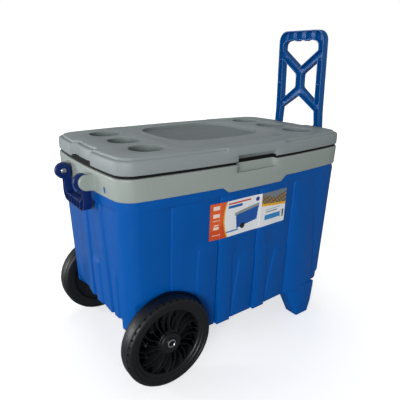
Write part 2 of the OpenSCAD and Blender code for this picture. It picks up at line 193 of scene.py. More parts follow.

# %% [markdown]
# ## Steel, foam and rubber
# The axle and screws are zinc-plated steel: a metal with faint drawn lines. The insulation is
# rigid polyurethane foam, pale and full of cells about a millimetre across. The lid seal is
# black rubber, and its black, reaching close to the lid's edges, is also painted shade for the gap
# between lid and collar.

# %% Steel, foam and rubber
STEEL, tree, shader, coords = new_material("zinc_plated_steel", metallic=1.0)
shader.inputs["Base Color"].default_value = linear("#b9bcc0")
drawn = add_node(tree, "ShaderNodeMapping", {"Scale": (1, 0.06, 1)}, {"Vector": coords})
lines = noise(tree, drawn.outputs[0], 0.8, 3.0)
tree.links.new(ramp(tree, lines, 0.24, 0.44), shader.inputs["Roughness"])

FOAM, tree, shader, coords = new_material("polyurethane_foam", roughness=0.9, ior=1.45)
cells = add_node(tree, "ShaderNodeTexVoronoi", {"Scale": 1 / (1.6 * MM)}, {"Vector": coords})
depth = cells.outputs["Distance"]
tree.links.new(colour_mix(tree, depth, "#e6dcae", "#cfc08a"), shader.inputs["Base Color"])
pits = add_node(tree, "ShaderNodeBump", {"Distance": 0.3 * MM}, {"Height": depth})
tree.links.new(pits.outputs["Normal"], shader.inputs["Normal"])

# Black rubber of the seal; its black also serves as painted shade in the lid gap
RUBBER_GAP_SHADE = moulded_plastic("black_rubber_gap_shade", "#0c0c0d", "#121213", 0.62, 0.9, 20, 0.2)
print("made", STEEL.name, FOAM.name, RUBBER_GAP_SHADE.name)

# %% [markdown]
# ## Modelling helpers
# Most mouldings here are a plan outline that changes a little with height. So they are lofted:
# a filled circle is added, its corners are put on the first outline, and its face is extruded
# ring by ring with each new ring put on the next outline. Pockets are cut with a second loft.


# %% Selection and loft
def clear_selection():
    """Leaves edit mode and selects nothing."""
    if bpy.context.object and bpy.context.object.mode != "OBJECT":
        bpy.ops.object.mode_set(mode="OBJECT")
    bpy.ops.object.select_all(action="DESELECT")


def pick(*pieces):
    """Selects these pieces only, the first one active."""
    clear_selection()
    for piece in pieces:
        piece.select_set(True)
    bpy.context.view_layer.objects.active = pieces[0]


def put_cap(piece, ring):
    """Moves the corners of the selected end face onto a ring of points in millimetres."""
    mesh = bmesh.from_edit_mesh(piece.data)
    cap = next(face for face in mesh.faces if face.select)
    for vertex, point in zip(cap.verts, ring):
        vertex.co = Vector(point) * MM
    bmesh.update_edit_mesh(piece.data)


def loft(name, rings, closed_loop=False):
    """A solid through rings of points, all rings with as many points. A closed loop has a hole."""
    clear_selection()
    bpy.ops.mesh.primitive_circle_add(vertices=len(rings[0]), radius=0.1, fill_type="NGON")
    piece = bpy.context.object
    piece.name = name
    bpy.ops.object.mode_set(mode="EDIT")
    bpy.ops.mesh.select_mode(type="FACE")
    bpy.ops.mesh.select_all(action="SELECT")
    put_cap(piece, rings[0])
    for ring in rings[1:]:
        bpy.ops.mesh.extrude_region_move()
        put_cap(piece, ring)
    if closed_loop:
        mesh = bmesh.from_edit_mesh(piece.data)
        for face in mesh.faces:
            face.select = len(face.verts) == len(rings[0])
        bpy.ops.mesh.delete(type="FACE")
    tidy_normals()
    bpy.ops.object.mode_set(mode="OBJECT")
    return piece


def tidy_normals():
    """In edit mode: welds doubles and turns all faces outwards."""
    bpy.ops.mesh.select_all(action="SELECT")
    bpy.ops.mesh.remove_doubles(threshold=0.01 * MM)
    bpy.ops.mesh.normals_make_consistent(inside=False)


# %% Cutting, joining, softening
def combine(piece, other, operation):
    """Boolean of another closed piece into this one; the other is used up."""
    pick(piece)
    modifier = piece.modifiers.new("combine", "BOOLEAN")
    modifier.operation, modifier.object, modifier.solver = operation, other, "EXACT"
    bpy.ops.object.modifier_apply(modifier=modifier.name)
    bpy.data.objects.remove(other)
    return piece


def cut(piece, *cutters):
    """Takes the cutters out of a piece."""
    for cutter in cutters:
        combine(piece, cutter, "DIFFERENCE")
    return piece


def join_on(piece, *others):
    """Fuses other pieces onto a piece."""
    for other in others:
        combine(piece, other, "UNION")
    return piece


def merge_loose(piece, *others):
    """Joins pieces that only rest against each other into one object."""
    pick(piece, *others)
    bpy.ops.object.join()
    return piece


def soften(piece, width, segments=2, angle=28):
    """Rounds every edge sharper than an angle, as a mould's corners are rounded."""
    pick(piece)
    modifier = piece.modifiers.new("soften", "BEVEL")
    modifier.width, modifier.segments = width * MM, segments
    modifier.limit_method, modifier.angle_limit = "ANGLE", math.radians(angle)
    modifier.use_clamp_overlap, modifier.harden_normals = True, False
    bpy.ops.object.modifier_apply(modifier=modifier.name)
    return piece


def copy_of(piece, name):
    """A copy with its own mesh."""
    twin = piece.copy()
    twin.data = piece.data.copy()
    twin.name = name
    bpy.context.collection.objects.link(twin)
    return twin


def shift(piece, x, z):
    """Moves a piece's mesh by x and z millimetres."""
    for vertex in piece.data.vertices:
        vertex.co += Vector((x, 0, z)) * MM
    return piece


def mirrored(piece, name, axis):
    """A mirrored copy across the middle plane of an axis, its normals turned out again."""
    twin = copy_of(piece, name)
    for vertex in twin.data.vertices:
        vertex.co[axis] = -vertex.co[axis]
    pick(twin)
    bpy.ops.object.mode_set(mode="EDIT")
    tidy_normals()
    bpy.ops.object.mode_set(mode="OBJECT")
    return twin


def finish_piece(piece, body, material, stands_for, smooth_angle=32):
    """Shading, material, body and the CAD nodes it stands for."""
    pick(piece)
    bpy.ops.object.shade_smooth_by_angle(angle=math.radians(smooth_angle))
    piece.data.materials.clear()
    piece.data.materials.append(material)
    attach(piece, body)
    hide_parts(*stands_for)
    print(piece.name, len(piece.data.polygons), "faces on", body)


# %% [markdown]
# ## Plan outlines
# Seen from above, the lid, collar and tub are rectangles with rounded corners whose sides swell
# a little at mid-length. A side is given as stations: how far along it and how far out. So a rib
# or a pocket edge is a pair of stations, and it can lean by moving its stations with height.

# %% Outline
CORNER_STEPS = 9


def spread(start, end, count):
    """Evenly spaced stations with nothing standing out."""
    return [(start + (end - start) * i / (count - 1), 0.0) for i in range(count)]


def outline(half, radius, bow, z, front, right, back, left):
    """Ring of points at height z, from the front left anticlockwise; each side lists (along, out).

    z may be a function of (x, y), for an edge that isn't level.
    """
    hx, hy = half
    points = []

    def place(x, y, out_x=0.0, out_y=0.0):
        px = x * (1 - bow[0] / hx * (y / hy) ** 2) + out_x
        py = y * (1 - bow[1] / hy * (x / hx) ** 2) + out_y
        points.append((px, py, z(px, py) if callable(z) else z))

    def corner(cx, cy, start):
        for i in range(1, CORNER_STEPS):
            a = math.radians(start + 90 * i / CORNER_STEPS)
            place(cx + radius * math.cos(a), cy + radius * math.sin(a))

    for along, out in front:
        place(along, -hy, out_y=-out)
    corner(hx - radius, radius - hy, -90)
    for along, out in right:
        place(hx, along, out_x=out)
    corner(hx - radius, hy - radius, 0)
    for along, out in back:
        place(along, hy, out_y=out)
    corner(radius - hx, hy - radius, 90)
    for along, out in left:
        place(-hx, along, out_x=-out)
    corner(radius - hx, radius - hy, 180)
    return points


def slab_prism(name, profile, y0, y1):
    """Outline in X-Z, carried along Y."""
    return loft(name, [[(x, y, z) for x, z in profile] for y in (y0, y1)])


def plate_x(name, ring, x0, x1):
    """An outline in Y-Z, carried along X."""
    return loft(name, [[(x, y, z) for y, z in ring] for x in (x0, x1)])


def arc(cx, cz, radius, start, end, count):
    """Points on an arc, angles in degrees."""
    steps = [math.radians(start + (end - start) * i / (count - 1)) for i in range(count)]
    return [(cx + radius * math.cos(a), cz + radius * math.sin(a)) for a in steps]


# %% [markdown]
# ## Tub
# The tub is one deep moulding with draft, so it can leave the mould. Its front and back carry
# shiplap planks: each starts at a sharp step and slopes back to the next. Upright ribs rise out of
# the drafted wall toward the bottom, low panels fill the bays between, and a broad pilaster runs
# down into each leg. Past the legs the end corners stand out a little further. A lip goes round
# under the collar. The stations of each ring carry all that.

# %% Tub relief
TUB_TOP_Z, TUB_BOTTOM_Z, TUB_R = 440, 80, 36
TUB_BOW = (8, 12)
LIP_Z = 400
SWELL_X, SWELL_Y = 5, 8


def tub_half(z, inset=0.0):
    """Half length and half width of the drafted tub at a height."""
    up = (z - TUB_BOTTOM_Z) / (TUB_TOP_Z - TUB_BOTTOM_Z)
    return (308 + 10 * up - inset, 172 + 12 * up - inset)


def between(z, z0, v0, z1, v1):
    """Value at z on the line through two heights, held beyond them."""
    share = min(max((z - z0) / (z1 - z0), 0), 1)
    return v0 + (v1 - v0) * share


def tub_front(z):
    """Stations of the front wall; the back is its mirror."""
    on = between(z, LIP_Z - 8, 1, LIP_Z - 2, 0)
    down = between(z, 440, 0, 80, 1)
    step = between(z, 80, 9.0, 300, 2.4)
    low = [between(z, top - 4, 2.2, top, 0) for top in (290, 237, 227)]
    lean = [between(z, 90, foot, top, head)
            for foot, top, head in ((-157, 290, -150), (-47, 237, -31), (68, 227, 91))]
    crease = between(z, 90, 182, 400, 157)
    right = between(z, 80, 247, 400, 220)
    leg_out = between(z, 80, 18.5, 392, 2.2)
    stations = [
        (-240, 0), (-219, -1.4), (-217, -1.6), (-215.5, 1.6 + 1.2 * down), (-180, 1.0),
        (lean[0], 0.6), (lean[0] + 3, 0.6 + low[0]), (-98, 0.2 + low[0]), (-96.6, -2.2),
        (-93.8, -2.2), (-92.5, step), (-55, step - 0.4), (-51, 1.6 - 0.6 * down),
        (lean[1], 0.8), (lean[1] + 3, 0.8 + low[1]), (19, 0.2 + low[1]), (20.4, -2.2),
        (23.2, -2.2), (24.5, step),
        (61, step - 0.4), (65, 1.6 - 0.6 * down), (lean[2], 0.8), (lean[2] + 3, 0.8 + low[2]),
        (138, 0.2 + low[2]), (139.4, -2.2), (142.4, -2.2), (144, 1.6 + 1.4 * down), (crease, leg_out),
        (right, leg_out), (right + 4, 0.6), (right + 20, 0)]
    lip = between(z, LIP_Z - 4, 0, LIP_Z, 2.4)
    return [(x, out * on + lip) for x, out in stations]


def tub_end(z, side):
    """Stations of an end wall from front to back. The wheel end has the raised strips."""
    on = between(z, LIP_Z - 8, 1, LIP_Z - 2, 0)
    down = between(z, 400, 0, 150, 1)
    lip = between(z, LIP_Z - 4, 0, LIP_Z, 2.4)
    low = between(z, 250, 3.4, 256, 0) * (1 if side < 0 else 0.6)
    flank = -77 - 20 * down
    strip = -8 - 14 * down
    stations = [
        (-130, 0.3), (-127, 0.4 + low * 0.8), (-109, 0.3 + low * 0.8), (-106, 0.2), (flank - 2, 0.0),
        (flank, 3.0 + 1.6 * down), (strip - 31, 1.8), (strip - 28, 0.8 + low),
        (strip - 3, 2.8 + low), (strip, 1.0), (-1, 0.2), (1, 3.0 + 1.8 * down),
        (54 - 16 * down, 2.4), (58 - 16 * down, 0.4), (96, 0.2), (118, 0.1)]
    return [(y, out * on + lip) for y, out in stations]


def tub_ring(z, inset=0.0):
    """The whole outline at a height, its two corners at the leg end drawn out."""
    front, left, right = tub_front(z), tub_end(z, -1), tub_end(z, 1)
    ring = outline(tub_half(z, inset), TUB_R - inset / 2, TUB_BOW, z, front, right,
                   front[::-1], left[::-1])
    edge = between(z, 80, 249, 400, 222)
    swell = (between(z, 102, 0.55, 106, 1) * between(z, 110, 1, LIP_Z - 8, 0.45)
             * between(z, 408, 1, 418, 0))
    swollen = []
    for x, y, height in ring:
        share = between(x, edge, 0, edge + 20, swell) * (y / 180) ** 2
        swollen.append((x + SWELL_X * share, y + math.copysign(SWELL_Y * share, y), height))
    return swollen


# %% Tub outer block
heights = [84, 92, 102, 106, 110, 130, 150, 170, 190, 205, 223, 227, 233, 237, 250, 256, 270, 286,
           290, 310, 330, 350, 372, LIP_Z - 8, LIP_Z - 5.5, LIP_Z - 3.5, LIP_Z - 1.5, LIP_Z, 408,
           418, 438]
tub = loft("tub", [tub_ring(80, 3.2), tub_ring(80.6, 1.4), tub_ring(82, 0.4)]
           + [tub_ring(z) for z in heights] + [tub_ring(439.6, 0.8), tub_ring(440, 2)])
print("tub block", [round(v * 1000) for v in tub.dimensions])


# %% Tub legs
def leg_ring(z, grow=0.0):
    """A leg's outline at a height: the pilaster's face at the front, closed behind."""
    down = between(z, 0, 1, 90, 0)
    x0 = between(z, 0, 188, 92, 146)
    x1 = between(z, 32, 241, 80, 247) if z > 32 else between(z, 0, 231, 32, 241)
    crease = between(z, 0, 190, 90, 182)
    face, back = -185.5 - 0.5 * down, between(z, 0, -149, 90, -140)
    side = between(z, 0, face + 3, 90, -172)
    return [(x0 + grow, back - grow, z), (x0 + grow, side + grow, z), (crease + grow, face + grow, z),
            ((crease + x1) / 2, face + grow, z), (x1 - grow, face + grow, z), (x1 - grow, back - grow, z)]


leg = loft("leg", [leg_ring(0, 1.6), leg_ring(0.5, 0.7), leg_ring(1.6, 0)]
           + [leg_ring(z) for z in (18, 32, 55, 78, 92)])
join_on(tub, mirrored(leg, "leg_rear", 1), leg)

# %% [markdown]
# The wheels stand in round arches, the axle runs between two brackets, and the end wall stops
# above it, so the underside is open there. The inside is hollow for the foam and the lining.

# %% Tub cut-outs
WHEEL_X, WHEEL_Z, ARCH_R, ARCH_WALL_Y = -229.4, 102.7, 108, 158
TUB_WALL, HOLLOW_INSET = 3.5, 5.0


def arch_profile(radius):
    """A wheel arch from the side, with a sloping foot toward the leg end."""
    foot = WHEEL_X + radius + 12
    return ([(WHEEL_X - radius, 40)] + arc(WHEEL_X, WHEEL_Z, radius, 180, 0, 41)
            + [(foot, 84), (foot + 3, 60), (foot + 3, 40)])


def arch_cutter(side):
    """An arch through the wall at one side."""
    return slab_prism("arch_cutter", arch_profile(ARCH_R), side * ARCH_WALL_Y, side * 240)


BAY = [(-340, 60), (-340, 150), (-196, 150), (-188, 146), (-160, 60)]
CHAMFER = [(-340, 60), (-340, 145), (-302, 127), (-262, 80), (-262, 60)]
cut(tub, arch_cutter(-1), arch_cutter(1), slab_prism("bay", BAY, -126, 126),
    slab_prism("corner_front", CHAMFER, -159, -118), slab_prism("corner_rear", CHAMFER, 118, 159))


def hollow_ring(z, radius=34):
    """The inside of the tub at a height, without ribs."""
    half = tub_half(z, HOLLOW_INSET)
    plain_x = spread(-half[0] + radius, half[0] - radius, 10)
    plain_y = spread(-half[1] + radius, half[1] - radius, 6)
    return outline(half, radius, TUB_BOW, z, plain_x, plain_y, plain_x[::-1], plain_y[::-1])


hollow = loft("hollow", [hollow_ring(z) for z in (83.5, 200, 460)])
inner_arch = arch_profile(ARCH_R + TUB_WALL)
cut(hollow, slab_prism("arch_front", inner_arch, TUB_WALL - ARCH_WALL_Y, -240),
    slab_prism("arch_rear", inner_arch, ARCH_WALL_Y - TUB_WALL, 240),
    slab_prism("bay_roof", [(-340, 60), (-340, 150 + TUB_WALL), (-139, 150 + TUB_WALL), (-139, 60)],
               -200, 200))
cut(tub, hollow)


def catch(x, y):
    """A snap catch that shows blue in the collar's slot."""
    corners = ((-1, -1), (1, -1), (1, 1), (-1, 1))
    return loft("catch", [[(x + sx * 6, y + sy * (3.6 - f), z) for sx, sy in corners]
                          for z, f in ((428.4, 0.8), (429.2, 0), (438.6, 0), (439.4, 0.8))])


CATCH_YS = (-110, -25, 25, 110)
join_on(tub, *[catch(side * 313, y) for side in (-1, 1) for y in CATCH_YS])
soften(tub, 0.9, 2, 30)
finish_piece(tub, "body", BLUE, ["body_shell"])

# %% [markdown]
# ## Rim collar
# The grey collar snaps over the tub, carries the ears of both handles and the hinge lugs, and
# closes the insulation with a flange round the mouth. It is a closed loop of rings: up the outer
# wall, in over the flange, down again inside. Its front skirt dips to an apron, and a scooped
# pocket lets fingers under the lid.

# %% Collar ring
RIM_HALF, RIM_R, RIM_BOW = (325, 194), 34, (11, 20)
MOUTH_HALF, MOUTH_R, MOUTH_BOW = (288, 157), 42, (5.5, 10)
COLLAR_Z, COLLAR_TOP_Z, FLANGE_Z, APRON_Z = 420, 465, 457, 408
FRONT_XS = [-270, -225, -180, -135, -97, -94, -80, -77, -40, 0, 40, 77, 80, 94, 97, 135, 180, 225,
            270]
END_YS = [-140, -117, -90, -62, -31, 0, 31, 62, 90, 117, 140]


def apron(z):
    """The front edge dips between two slopes; elsewhere it is level."""
    def height(x, y):
        return z - between(abs(x), 79, COLLAR_Z - APRON_Z, 94, 0) if y < -100 else z
    return height


def collar_ring(half, radius, bow, z, inset=0.0):
    """A level ring of the collar, its stations scaled to the ring's length."""
    share = (half[0] - radius) / (RIM_HALF[0] - RIM_R)
    share_y = (half[1] - radius) / (RIM_HALF[1] - RIM_R)
    front = [(x * share, 0) for x in FRONT_XS]
    end = [(y * share_y, 0) for y in END_YS]
    return outline((half[0] - inset, half[1] - inset), radius, bow, z, front, end, front[::-1],
                   end[::-1])


def rim_ring(z, inset=0.0):
    """A ring of the outer wall."""
    return collar_ring(RIM_HALF, RIM_R - inset / 2, RIM_BOW, z, inset)


def mouth_ring(z, grow=0.0):
    """A ring of the mouth."""
    return collar_ring(MOUTH_HALF, MOUTH_R, MOUTH_BOW, z, -grow)


collar_rings = [rim_ring(apron(COLLAR_Z), 1.9), rim_ring(apron(COLLAR_Z + 0.7), 1.1),
                rim_ring(apron(COLLAR_Z + 2), 0.9), rim_ring(440, 0.4), rim_ring(460, 0),
                rim_ring(463.3, 0.2), rim_ring(464.5, 0.8), rim_ring(COLLAR_TOP_Z, 2.2),
                mouth_ring(COLLAR_TOP_Z, 1.8), mouth_ring(464.4, 0.5), mouth_ring(463, 0),
                mouth_ring(FLANGE_Z, 0), rim_ring(FLANGE_Z, 4.4), rim_ring(apron(COLLAR_Z), 4.4),
                rim_ring(apron(COLLAR_Z), 1.9)]
collar = loft("collar", collar_rings, closed_loop=True)

# %% Collar pocket and slots
POCKET_X, POCKET_Y = 59, -180


def box_loft(name, x0, x1, y0, y1, z0, z1):
    """A plain block to join or cut with."""
    return loft(name, [[(x0, y0, z), (x1, y0, z), (x1, y1, z), (x0, y1, z)] for z in (z0, z1)])


def pocket_section(x, lip):
    """The pocket seen from the side: over a front lip, down into a trough, then up a scooped back."""
    return [(x, -200, 448.6 - lip), (x, -192, 448.6 - lip), (x, -190.8, 444.4 - lip),
            (x, POCKET_Y - 7, 444 - lip), (x, POCKET_Y - 0.6, 453 - lip), (x, POCKET_Y + 1.4, 458),
            (x, POCKET_Y + 1.4, 470), (x, -200, 470)]


join_on(collar, box_loft("pocket_shell", -62.5, 62.5, -191.5, -176.2, 441.5, 461))
pocket = loft("pocket", [pocket_section(-POCKET_X, 0), pocket_section(-POCKET_X + 2, 0.6),
                         pocket_section(POCKET_X - 2, 0.6), pocket_section(POCKET_X, 0)])
cut(collar, pocket)


def slot(x, y):
    """An upright slot with round ends, through the skirt's end wall."""
    ring = []
    for a in list(range(0, 181, 20)) + list(range(180, 361, 20)):
        middle_z = 434 + (3 if a < 180 else -3)
        ring.append((y + 4 * math.cos(math.radians(a)), middle_z + 4 * math.sin(math.radians(a))))
    return plate_x("slot", ring, x - 9, x + 9)


cut(collar, *[slot(side * 322, y) for side in (-1, 1) for y in CATCH_YS])
print("collar cut:", len(collar.data.vertices), "corners")

# %% [markdown]
# Each handle turns on two screws through ears that stand out from the collar. An ear is a round
# plate that spreads to a foot where it meets the wall. The hinge lugs at the rear hold the pins.

# %% Handle ears and hinge lugs
PIVOT_X, PIVOT_Z, EAR_R, SCREW_R = 343, 440.5, 16, 4
BAIL_EAR_Y, TOW_EAR_Y, EAR_T = 60.5, 84.5, 10
HINGE_Y, HINGE_Z, HINGE_R, HINGE_X = 197, 467, 5.5, 150


def ear_plate(side, y0):
    """A round ear with a foot that spreads where it meets the wall."""
    foot_x = RIM_HALF[0] - 9
    rim = arc(PIVOT_X - 6, PIVOT_Z, EAR_R, -90, 90, 15)
    profile = [(foot_x, PIVOT_Z - EAR_R - 1.5)] + rim + [(foot_x, PIVOT_Z + EAR_R + 1.5)]
    plate = slab_prism("ear", [(side * x, z) for x, z in profile], y0, y0 + EAR_T)
    return soften(plate, 1.6, 3, 40)


def bore(x, z, radius, y0, y1):
    """A round rod along Y, to cut with."""
    return slab_prism("bore", arc(x, z, radius, 0, 348.75, 32), y0, y1)


for side, ear_y in ((-1, BAIL_EAR_Y), (1, TOW_EAR_Y)):
    for y0 in (ear_y, -ear_y - EAR_T):
        join_on(collar, ear_plate(side, y0))
    cut(collar, bore(side * PIVOT_X, PIVOT_Z, SCREW_R, -ear_y - EAR_T + 0.8, -ear_y + 4),
        bore(side * PIVOT_X, PIVOT_Z, SCREW_R, ear_y - 4, ear_y + EAR_T - 0.8))


def hinge_loop(name, x0, x1, foot):
    """A barrel with its foot, seen along X: a round end that runs into the wall."""
    turns = [math.radians(a) for a in range(-90, 181, 15)]
    barrel = [(HINGE_Y + HINGE_R * math.cos(a), HINGE_Z + HINGE_R * math.sin(a)) for a in turns]
    return plate_x(name, foot[:1] + barrel + foot[1:], x0, x1)


LUG_FOOT = [(190, 452), (HINGE_Y - HINGE_R, 463), (190, 460)]
for x in (-HINGE_X, HINGE_X):
    for x0 in (x - 17, x + 7):
        join_on(collar, hinge_loop("lug", x0, x0 + 10, LUG_FOOT))

soften(collar, 0.7, 2, 35)
finish_piece(collar, "body", COLLAR_GREY, ["rim_collar"])

# %% [markdown]
# ## Lid
# The lid is a shallow tray turned over: a rounded skirt, and a plateau that stands a few
# millimetres above the border. The plateau runs out to the edge over the lift pocket and steps
# back at the rear. Both ends have a finger bay with fluted corners. The six cup rests are dished
# with a flared lip, and the middle has a tray with a soft square outline.

# %% Lid stations
LID_BOTTOM_Z, BORDER_Z, LID_TOP_Z = 470.8, 498.2, 503
TAB_X, NOTCH_X, BAY_DEEP = 85, 145, 11
LID_XS = [-270, -225, -180, -150, -146, -143, -120, -89, -86, -83, -50, 0, 50, 83, 86, 89, 120, 143,
          146, 150, 180, 225, 270]
LID_YS = [-140, -117, -90, -63, -59, -55, -51, -30, -27, -10, 10, 27, 30, 51, 55, 59, 63, 90, 117,
          140]


def bay_depth(y):
    """How far the end wall is set back: a bay with a flute beside each end."""
    y = abs(y)
    if y > 60:
        return 0.0
    if y > 56:
        return BAY_DEEP * 0.45
    if y > 50:
        return BAY_DEEP
    return BAY_DEEP - 1.6 if y < 29 else BAY_DEEP


def lid_ring(z_border, z_tab, inset, step=0.0):
    """A ring of the lid; over the tab it takes z_tab. A step draws it in to the plateau's edge."""
    front = [(x, 0 if abs(x) < TAB_X else -step) for x in LID_XS]
    back = [(x, -step * 2 if step and abs(x) < NOTCH_X else -step) for x in LID_XS]
    end = [(y, -bay_depth(y) * (1 if not step else 1.15) - step) for y in LID_YS]
    half = (RIM_HALF[0] - inset, RIM_HALF[1] - inset)
    radius = RIM_R - inset / 2

    def height(x, y):
        return z_tab if abs(x) < TAB_X and y < -150 else z_border

    ring = outline(half, radius, RIM_BOW, height, front, end, back[::-1], end[::-1])
    if not step:
        return ring
    for i in corner_numbers(len(front), len(end)):
        x, y, z = ring[i]
        ring[i] = (x - step * 0.99 * math.copysign(min(abs(x) / 300, 1), x),
                   y - step * 0.99 * math.copysign(min(abs(y) / 180, 1), y), z)
    return ring


def corner_numbers(along_x, along_y):
    """Which points of an outline belong to its four corner arcs."""
    numbers, start, arc_count = set(), 0, CORNER_STEPS - 1
    for side in (along_x, along_y, along_x, along_y):
        numbers.update(range(start + side, start + side + arc_count))
        start += side + arc_count
    return numbers


# %% Lid shell
# Rings from the underside up: height of the border, height of the tab, inset, step of the plateau
LID_PROFILE = [
    (474, 474, 3.6), (LID_BOTTOM_Z, LID_BOTTOM_Z, 3.6), (LID_BOTTOM_Z, LID_BOTTOM_Z, 1.6),
    (471.2, 471.2, 0.7), (472.6, 472.6, 0.2), (484, 484, 0.0), (493.6, 497, 0.4),
    (496.0, 499.6, 0.9), (497.4, 501.6, 2.0), (498.1, 502.7, 3.8), (BORDER_Z, LID_TOP_Z, 6.0),
    (BORDER_Z - 1.3, LID_TOP_Z, 6.0, 1.0), (BORDER_Z - 1.4, LID_TOP_Z, 6.0, 1.8),
    (LID_TOP_Z - 1.6, LID_TOP_Z, 6.0, 2.6), (LID_TOP_Z - 0.5, LID_TOP_Z, 6.0, 3.2),
    (LID_TOP_Z, LID_TOP_Z, 6.0, 4.4)]
lid = loft("lid", [lid_ring(*row) for row in LID_PROFILE])
print("lid block", [round(v * 1000, 1) for v in lid.dimensions])

# %% Cup rests and tray
CUP_R, CUP_X, CUP_PITCH = 35.5, 222, 100
CUP_SECTION = [(38.0, 504.2), (37.0, 502.9), (36.2, 502.5), (35.7, 501.7), (CUP_R, 500.2),
               (35.1, 490.9), (34.3, 489.1), (32.8, 488.2), (28.0, 487.7), (20.0, 487.6)]


def dish(x, y, section, count=56):
    """A round cutter from a section of (radius, height)."""
    angles = [2 * math.pi * i / count for i in range(count)]
    return loft("dish", [[(x + r * math.cos(a), y + r * math.sin(a), z) for a in angles]
                         for r, z in section])


cut(lid, *[dish(side * CUP_X, row * CUP_PITCH, CUP_SECTION)
           for side in (-1, 1) for row in (-1, 0, 1)])


def tray_ring(grow, z, count=72):
    """A superellipse, between a rounded square and an oval."""
    points = []
    for i in range(count):
        a = 2 * math.pi * i / count
        c, s = math.cos(a), math.sin(a)
        points.append(((132 + grow) * math.copysign(abs(c) ** 0.55, c),
                       22 + (113 + grow) * math.copysign(abs(s) ** 0.55, s), z))
    return points


TRAY_SECTION = ((2, 504), (0.9, 502.9), (0.2, 502.4), (-0.2, 501.4), (-1.0, 496.8), (-1.9, 495.4),
                (-3.6, 494.9))
tray = loft("tray", [tray_ring(grow, z) for grow, z in TRAY_SECTION])
cut(lid, tray)


# %% Fine grooves round the tray
def groove(points, width=2.2, depth=1.1):
    """A shallow V groove in the deck along a straight line."""
    (x0, y0), (x1, y1) = points
    along = Vector((x1 - x0, y1 - y0)).normalized()
    off = Vector((-along.y, along.x)) * width / 2 * 1.6
    return loft("groove", [[(x + off.x, y + off.y, LID_TOP_Z + 0.4), (x, y, LID_TOP_Z - depth),
                            (x - off.x, y - off.y, LID_TOP_Z + 0.4)] for x, y in points])


side_grooves = [groove([(side * x, -136), (side * x, 150)]) for side in (-1, 1) for x in (142, 149)]
cut(lid, groove([(-131, -146), (131, -146)]), *side_grooves)

# %% Lid pocket and hinge knuckles
LIFT_SECTION = [(-200, 460), (-200, 484.5), (-191.5, 485), (-178, 472.5), (-178, 460)]
cut(lid, plate_x("lid_pocket", LIFT_SECTION, -57, 57))
KNUCKLE_FOOT = [(186, 469.5), (HINGE_Y - HINGE_R, 468), (186, 474)]
knuckles = [hinge_loop("knuckle", x - 6.6, x + 6.6, KNUCKLE_FOOT) for x in (-HINGE_X, HINGE_X)]
join_on(lid, *knuckles)
soften(lid, 0.6, 2, 38)
finish_piece(lid, "lid", LID_GREY_SHADED, ["lid_shell"])

# The cups and the tray have a coarser mat grain than the deck, and a darker grey that is painted shade
# for these recesses
RECESS_GREY_PAINTED_SHADE = moulded_plastic("grey_polypropylene_mat_painted_shade", "#7d8585", "#757d7d", 0.58, 1.7, 34, 0.25)
lid.data.materials.append(RECESS_GREY_PAINTED_SHADE)
# Faces low in the cups and the tray take the darker grey: painted shade
for polygon in lid.data.polygons:
    x, y, z = polygon.center / MM
    if z < 502.3 and abs(x) < 262 and abs(y) < 150:
        polygon.material_index = 1

# %% [markdown]
# ## Lid seal
# Between lid and collar runs a dark gap. A wide flat black rubber seal hangs under the lid and
# stands back only a little from both edges, so its black is painted shade for that gap as well as
# the seal. It steps back behind the lift pocket.

# %% Lid seal
SEAL_XS = [-270, -225, -180, -135, -90, -62.5, -61, -30, 0, 30, 61, 62.5, 90, 135, 180, 225, 270]


def seal_ring(z, inset):
    """A level ring of the seal; the outer ones pass behind the pocket and clear the hinges."""
    outer = inset < 10
    front = [(x, -12.8 if outer and abs(x) < 62 else 0) for x in SEAL_XS]
    back = [(x, -5 if outer else 0) for x in reversed(SEAL_XS)]
    end = spread(-140, 140, 9)
    half = (RIM_HALF[0] - inset, RIM_HALF[1] - inset)
    return outline(half, RIM_R - inset / 2, RIM_BOW, z, front, end, back, end[::-1])


SEAL_SECTION = [(465.3, 3.6), (465.7, 2.8), (470.3, 2.8), (470.6, 3.8), (473.9, 3.8), (473.9, 31),
                (465.3, 31), (465.3, 3.6)]
# The outer rings sit close to the edges, where the seal's black is painted shade for the gap
seal = loft("lid_gasket_and_gap_shade", [seal_ring(z, inset) for z, inset in SEAL_SECTION], closed_loop=True)
finish_piece(seal, "lid", RUBBER_GAP_SHADE, ["lid_seal"])

# %% [markdown]
# ## Wheels
# Each wheel is one hollow black moulding. Its outline is a closed section, spun round the axle:
# tread, stepped sidewall, deep bowl and hub. Thin ribs swirl from the hub to the rim in pairs,
# and short bars tie the pairs together. The tread has shallow notches at its outer shoulder.

# %% Wheel section
WHEEL_W, WHEEL_OUTER_Y, AXLE_R = 39.3, 202.5, 9.1
RIB_PAIRS, NOTCHES = 12, 40
WHEEL_SECTION = [
    (AXLE_R, -2.7), (23, -2.7), (24, -1.7), (24, 5), (26, 7), (70, 7), (73, 5), (73, 3), (75, 1),
    (92, 0), (98, 1.2), (101.4, 4.5), (102.7, 9), (102.7, 30), (101.8, 34), (99.4, 37.2),
    (96.0, 39.0), (93.2, 39.3), (91.4, 38.9), (90.6, 37.6), (89.6, 37.3), (83.6, 37.0),
    (82.6, 36.3), (81.8, 34.8), (80.8, 34.4), (77.2, 34.2), (75.4, 33.2), (74.0, 30.6), (73.4, 27),
    (72.6, 11), (29.4, 11), (28.8, 14), (28.4, 30.2), (27.6, 31.0), (24.6, 31.2), (23.8, 32.6),
    (23.4, 35.2), (22.4, 36.2), (13.4, 36.5), (12.4, 36.1), (11.9, 35.2), (AXLE_R, 35.0)]


